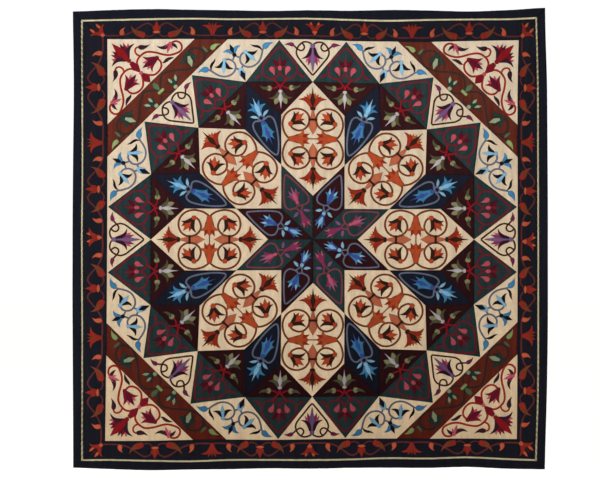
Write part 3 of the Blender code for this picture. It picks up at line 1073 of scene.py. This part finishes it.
# %% Heart motif
heart_half = [
    cut("madder red", [(65, 138), (78, 143)], 7, "stem", 0),
    leaf("madder red", (75, 141), (106, 160), 13, 0.08, "leaf", 1),
    cut("madder red", [(2, 116), (18, 114), (34, 114), (41, 119)], 8, "stem", 1),
    leaf("rose pink", (40, 113), (23, 151), 23, 0.08, "bud", 3),
    cut("bright red", [(29, 160), (16, 178), (4, 190), (1, 208)], 7.5, "stem", 2),
    cut("bright red", [(4, 187), (19, 200), (39, 203)], 7.5, "stem", 1),
    leaf("light olive", (36, 202), (69, 203), 24, 0.0, "bud", 3),
    leaf("dark olive", (47, 200), (86, 189), 14, 0.16, "swoop", 4),
    leaf("deep crimson", (1, 106), (30, 76), 18, 0.10, "swoop", 2),
    leaf("dark olive", (5, 216), (50, 243), 18, 0.24, "swoop", 3),
    leaf("light olive", (6, 222), (24, 272), 22, 0.0, "tooth", 2),
]
heart_line = [
    (-1, 130), (-5, 144), (-18, 157), (-38, 162), (-58, 154), (-69, 138), (-70, 118), (-65, 99), (-41, 68),
    (-19, 44), (0, 29),
]
heart = upside_down(both_sides(heart_half) + [
    cut("madder red", both_ways(heart_line), 8.8),
    leaf("madder red", (0, 110), (0, 54), 17, 0, "spindle", 3),
    disc("rose pink", (0, 118), 17, 4, 21),
    leaf("grey white", (0, 220), (0, 292), 20, 0, "spindle", 5),
    disc("grey white", (0, 216), 18, 6, 13),
])


def heart_places():
    """Where each heart's tip lies and which way it points, beside every direction."""
    for number in range(8):
        for side in (-1, 1):
            tip = green_triangle(number, side)[2]
            foot = shoulder(number if side > 0 else number - 1, number)
            yield tip, math.atan2(tip.x - foot.x, tip.y - foot.y)


hearts = [piece for tip, turn in heart_places() for piece in on_star(heart, tip, turn)]
heart_motifs = sew_motifs("heart_motifs", hearts, over_first)

# %% [markdown]
# ### Cream triangles
# Between each pair of green triangles a brown heart encloses a drooping lotus, aubergine outside, magenta
# and pink within, with a long purple petal. The line loops at each shoulder and ends in a magenta bud.

# %% Triangle motif
brown_half = [
    cut("heart brown", [
        (3, 160), (14, 166), (28, 169), (43, 166), (57, 153), (65, 137), (67, 122), (61, 105), (47, 86),
        (31, 66), (14, 44), (0, 28),
    ], 7.8),
    cut("heart brown", [
        (45, 165), (36, 154), (34, 144), (40, 135), (49, 132), (60, 137), (69, 145), (79, 154),
    ], 7, "stem", 1),
    leaf("magenta plum", (77, 154), (117, 156), 17, 0.12, "bud", 2),
    leaf("pink", (3, 124), (31, 79), 14, 0.0, "flame", 1),
    leaf("magenta", (3, 124), (20, 67), 17, 0.0, "flame", 2),
    leaf("aubergine", (7, 146), (47, 98), 17, -0.22, "swoop", 3),
]
triangle = both_sides(brown_half) + [
    leaf("aubergine", (0, 145), (0, 96), 26, 0, "tooth", 0),
    leaf("purple", (0, 142), (0, 41), 20, 0, "drop", 4),
    disc("purple", (0, 152), 18, 5, 20),
]
triangles = round_star(OCTAGON_REACH, 0, triangle)
triangle_motifs = sew_motifs("triangle_motifs", triangles, over_ground)

# %% [markdown]
# ### Cream quarters
# The four-sided cream areas carry slate scrolls round pale flowers with black sepals, a blue leaf at each
# end, a blue and black flower between the scrolls and a bud below them.

# %% Quarter motif
quad_half = [
    cut("slate", [
        (44, 118), (28, 114), (17, 102), (12, 86), (17, 69), (32, 55), (57, 50), (83, 59), (102, 78),
        (117, 100), (125, 105),
    ], 8.4),
    leaf("black", (52, 114), (97, 107), 17, -0.22, "swoop", 1),
    leaf("black", (47, 110), (24, 71), 17, 0.24, "swoop", 1),
    leaf("light blue", (49, 113), (73, 64), 19, 0.0, "kite", 2),
    disc("light blue", (47, 117), 17, 3),
    leaf("middle blue", (122, 103), (170, 109), 24, 0.14, "bud", 2),
    cut("black", [(112, 96), (110, 110), (100, 121), (88, 128), (77, 140)], 11, "leaf", 1),
    cut("slate", [(1, 119), (16, 104)], 8, "stem", 0),
    cut("slate", [(17, 70), (2, 54)], 8, "stem", 0),
    leaf("middle blue", (3, 128), (40, 149), 17, 0.24, "swoop", 2),
]
quad = both_sides(quad_half) + [
    disc("black", (0, 123), 17, 3),
    leaf("black", (0, 130), (0, 173), 21, 0, "lozenge", 3),
    leaf("light blue", (0, 64), (0, 15), 27, 0, "tooth", 1),
    leaf("black", (0, 52), (0, 3), 24, 0, "lozenge", 2),
]
quarters = round_star(OCTAGON_REACH / math.cos(EIGHTH / 2), 0.5, quad)
quarter_motifs = sew_motifs("quarter_motifs", quarters, over_ground)

# %% [markdown]
# ### Corners of the field
# Each corner is the same about its diagonal: a large crimson lotus, a pink knob with crimson tails, and on
# either side a ring round a smaller lotus, from which a long stem swings out to a drooping flower. Sizes
# are measured from the corner of the field, across and down.

# %% Corner motif
corner_half = upside_down([
    cut("scarlet brown", [
        (136, 134), (128, 115), (125, 97), (131, 80), (144, 66), (160, 56), (178, 53), (208, 57), (238, 65),
        (264, 67), (291, 60), (311, 48), (315, 30), (305, 14), (288, 9), (272, 15),
    ], 9.2),
    cut("scarlet brown", [
        (145, 144), (174, 150), (199, 149), (219, 133), (228, 113), (225, 95), (213, 83),
    ], 9.2),
    cut("scarlet brown", [(138, 70), (124, 64), (117, 50), (121, 37), (133, 32)], 8),
    leaf("plum", (131, 32), (181, 20), 20, 0.14, "bud", 1),
    cut("plum", [(230, 99), (240, 97), (254, 86), (268, 80), (284, 78)], 14, "leaf", 1),
    leaf("plum", (264, 19), (207, 28), 17, -0.22, "swoop", 1),
    leaf("plum", (268, 20), (297, 43), 14, -0.14, "swoop", 1),
    leaf("corner pink", (265, 20), (252, 60), 14, 0, "kite", 2),
    leaf("corner pink", (263, 20), (242, 40), 9, 0.1, "flame", 1),
    leaf("corner pink", (266, 20), (272, 46), 9, -0.1, "flame", 1),
    disc("corner pink", (267, 18), 15, 3),
    leaf("corner pink", (190, 92), (147, 100), 16, 0, "flame", 1),
    leaf("corner pink", (190, 96), (168, 129), 16, 0, "flame", 1),
    leaf("crimson", (209, 76), (148, 73), 20, -0.16, "swoop", 2),
    leaf("crimson", (211, 80), (190, 139), 20, 0.18, "swoop", 2),
    leaf("wine", (210, 79), (147, 122), 24, 0, "flame", 3),
    disc("crimson", (209, 79), 17, 4),
    leaf("corner pink", (88, 50), (87, 15), 16, 0.0, "flame", 0),
    leaf("crimson", (86, 74), (67, 14), 20, 0.0, "flame", 1),
    leaf("wine", (84, 74), (52, 19), 20, 0.0, "flame", 2),
    leaf("plum", (90, 88), (117, 18), 20, -0.24, "swoop", 3),
])
corner_pieces = corner_half + moved(corner_half, (0, 0), turn=-90, flip=True) + [
    leaf("scarlet", (90, -90), (19, -19), 34, 0, "flame", 4),
    disc("scarlet", (91, -91), 18, 6),
    leaf("crimson", (98, -98), (141, -141), 34, 0, "kite", 1),
    leaf("crimson", (144, -144), (182, -182), 33, 0, "tail", 1),
    disc("corner pink", (142, -142), 16, 3),
]


def on_field(pieces, x, y, turn):
    """A motif in millimetres, set at a point given as shares of the field's half width and half height."""
    at = (CENTRE.x * 1000 + x * FIELD_HALF * STRETCH * 1000, CENTRE.y * 1000 + y * FIELD_HALF * 1000)
    return [(c, flat / 1000, h, e, t) for c, flat, h, e, t in moved(pieces, at, turn)]


FIELD_CORNERS = ((-1, 1), (1, 1), (1, -1), (-1, -1))
placed = [piece for n, (x, y) in enumerate(FIELD_CORNERS) for piece in on_field(corner_pieces, x, y, 90 * n)]
corner_motifs = sew_motifs("corner_motifs", placed, over_ground, CORNER_PAINTED_LIGHT)

# %% [markdown]
# ### Rust bands
# A dark vine swings along each band from a pale green bar at its middle, with a green lotus inside each
# swing. One half is drawn to the right of the bar and mirrored.

# %% Band motif
BAND_VINE_REACH = 0.882
band_half = [
    cut("vine green", [
        (4, 12), (19, 22), (32, 35), (45, 43), (58, 45), (74, 39), (96, 26), (124, 3), (152, -18),
        (177, -30), (200, -35), (222, -30), (237, -15), (241, 3), (232, 24), (212, 37), (191, 36),
    ], 9),
    cut("vine green", [(9, -10), (20, -25), (35, -33), (50, -31)], 7, "stem", 0),
    cut("vine green", [(226, -27), (250, -22), (272, -22)], 6.5, "stem", 0),
    leaf("sage", (0, 8), (6, 48), 24, 0.10, "tail", 2),
    leaf("bar green", (270, -22), (316, -33), 20, 0.12, "bud", 2),
    leaf("sage", (254, -21), (256, 15), 12, 0.06, "leaf", 1),
    leaf("deep green", (55, -22), (34, 12), 13, -0.22, "swoop", 1),
    leaf("deep green", (62, -26), (107, -12), 13, 0.22, "swoop", 1),
    leaf("pale green", (57, -8), (58, 18), 15, 0.0, "kite", 2),
    leaf("pale green", (72, -14), (92, 10), 15, 0.0, "kite", 2),
    leaf("deep green", (59, -26), (74, 6), 24, 0, "lozenge", 3),
    disc("pale green", (56, -29), 18, 4, 16),
    leaf("deep green", (191, 36), (135, 27), 24, 0.12, "swoop", 1),
    leaf("deep green", (193, 34), (211, -10), 22, -0.14, "swoop", 1),
    leaf("vine green", (187, 30), (151, 4), 20, 0.0, "flame", 2),
    leaf("vine green", (187, 28), (185, -20), 20, 0.0, "flame", 2),
    leaf("pale green", (185, 24), (162, -19), 24, 0, "kite", 3),
    disc("deep green", (191, 34), 18, 4),
]
band = both_sides(band_half) + [cut("bar green", [(-16, 0), (16, 0)], 13, "stem", 3, 4)]
band_motifs = sew_motifs("band_motifs", round_star(BAND_VINE_REACH, 0, [], band), over_first)

# %% [markdown]
# ### The vine of the inner border
# Along each side a brown vine runs from crown to lotus. A crown is a red bud over an orange bar, with a
# paisley leaf curling up on either side of it, and an orange leaf stands on the vine before each lotus.
# The maker spaced them by eye, so a short table gives where they lie, as shares of the way from the middle
# of a side to its corner. Heights are measured outwards from the edge of the field.

# %% Border motifs
VINE_REACH = 236.0  # the half vine is drawn for this distance from crown to lotus
CORNER_KNOB = 17.0  # the corner lotus stands this far beyond the field, both ways
SWINGS = {"top": 1.03, "right": 1.03, "foot": 1.0, "left": 1.18}  # outward stretch, most where it is widest
MIDDLES = ((0, 1), (1, 0), (0, -1), (-1, 0))  # of the sides, as shares of the field's half sizes
SIDE_STATIONS = {
    "crowns": (-0.745, -0.238, 0.246, 0.744),
    "lotuses": (-0.478, 0.010, 0.473),
}


def vine_half(reach):
    """From a crown to the lotus on its right, reach millimetres away."""
    scale = reach / VINE_REACH
    stem = [
        (12, 49), (24, 61), (41, 67), (58, 62), (76, 51), (94, 39), (111, 30), (128, 23), (154, 17),
        (185, 15), (212, 15), (236, 17),
    ]
    return [
        cut("vine brown", [(x * scale, y) for x, y in stem], 7.6),
        cut("vine brown", [(9, 24), (20, 15), (34, 11), (50, 16)], 6, "stem", 0),
        leaf("border brown", (50, 19), (114 * scale, 60), 27, -0.17, "bud", 2),
        leaf("border red", (48, 17), (86, 29), 26, -0.06, "bud", 3),
        leaf("border orange", (151 * scale, 17), (139 * scale, 52), 21, -0.20, "bud", 1),
    ]


crown = both_sides([leaf("border red", (4, 34), (14, 58), 12, -0.10, "flame", 1)]) + [
    leaf("border red", (0, 38), (0, 77), 25, 0, "lozenge", 2),
    leaf("border red", (0, 33), (0, 62), 17, 0, "stem", 1),
    cut("border orange", [(-18, 30), (18, 30)], 13, "leaf", 4),
    disc("border orange", (0, 30), 28, 3, 11),
]
side_lotus = bloom(
    [
        ("border red", 17, 57, 20, 0.03, "flame", 2),
        ("border brown", 0, 57, 13, 0.0, "flame", 3),
        ("border red", 47, 42, 20, 0.26, "swoop", 4),
        ("border red", 0, 46, 34, 0.0, "trumpet", 1),
    ],
    at=(0, 14),
)
middle_lotus = bloom(
    [
        ("border dark", 0, 55, 14, 0.0, "flame", 0),
        ("border red", 42, 44, 19, 0.22, "swoop", 2),
    ],
    at=(0, 18),
) + both_sides([leaf("border orange", (14, 44), (17, 72), 15, 0, "leaf", 1)]) + [
    leaf("border orange", (0, 35), (0, 16), 22, 0, "bud", 3),
]
corner_lotus = bloom(
    [
        ("border dark", 0, 62, 16, 0.0, "flame", 0),
        ("border red", 43, 34, 19, 0.20, "swoop", 2),
    ],
    at=(0, CORNER_KNOB * math.sqrt(2)),
) + both_sides([leaf("border orange", (15, 52), (17, 84), 13, 0, "leaf", 1)]) + [
    disc("border orange", (0, CORNER_KNOB * math.sqrt(2) + 2), 18, 3),
]


def border_side(half_length):
    """The vine of one side, about the middle of the field's edge."""
    corner = half_length + CORNER_KNOB
    crowns = [share * corner for share in SIDE_STATIONS["crowns"]]
    lotuses = [share * corner for share in SIDE_STATIONS["lotuses"]]
    stops = [-corner, *lotuses, corner]
    pieces = []
    for number, x in enumerate(crowns):
        pieces += moved(crown, (x, 0))
        pieces += moved(vine_half(stops[number + 1] - x), (x, 0))
        pieces += moved(vine_half(x - stops[number]), (x, 0), flip=True)
    for number, x in enumerate(lotuses):
        pieces += moved(middle_lotus if number == 1 else side_lotus, (x, 0))
    return pieces


level_side, upright_side = (border_side(half * 1000) for half in (FIELD_HALF * STRETCH, FIELD_HALF))
border_pieces = []
for quarter_turns, (swing, (x, y)) in enumerate(zip(SWINGS.values(), MIDDLES)):
    side = [(c, flat * (1, swing), h, e, t) for c, flat, h, e, t in (upright_side if x else level_side)]
    border_pieces += on_field(side, x, y, 90 * quarter_turns)
for quarter_turns, (x, y) in enumerate(FIELD_CORNERS):
    border_pieces += on_field(corner_lotus, x, y, 90 * quarter_turns - 45)
border_motifs = sew_motifs("border_motifs", border_pieces, over_first, BORDER_PAINTED_LIGHT)

# %% [markdown]
# ## Outlines drawn again
# The outlines of the arrows, kites, bands, borders and piping are drawn once more, and nothing is kept of
# them. The ground is the hanging itself. Patches are cut side by side from lengths of cloth, and borders
# and piping from long strips.


placed_outlines(eighths, maroon_arrow).values()
placed_outlines(eighths, navy_kite).values()
placed_outlines(range(4), corner_band).values()
frame_strips("o", panel_rectangle(0), piping_outer).values()
frame_strips("i", piping_inner, field).values()
frame_strips("p", piping_outer, piping_inner).values()

# %% Sizes and finish
print("solids' box:", cad_box)
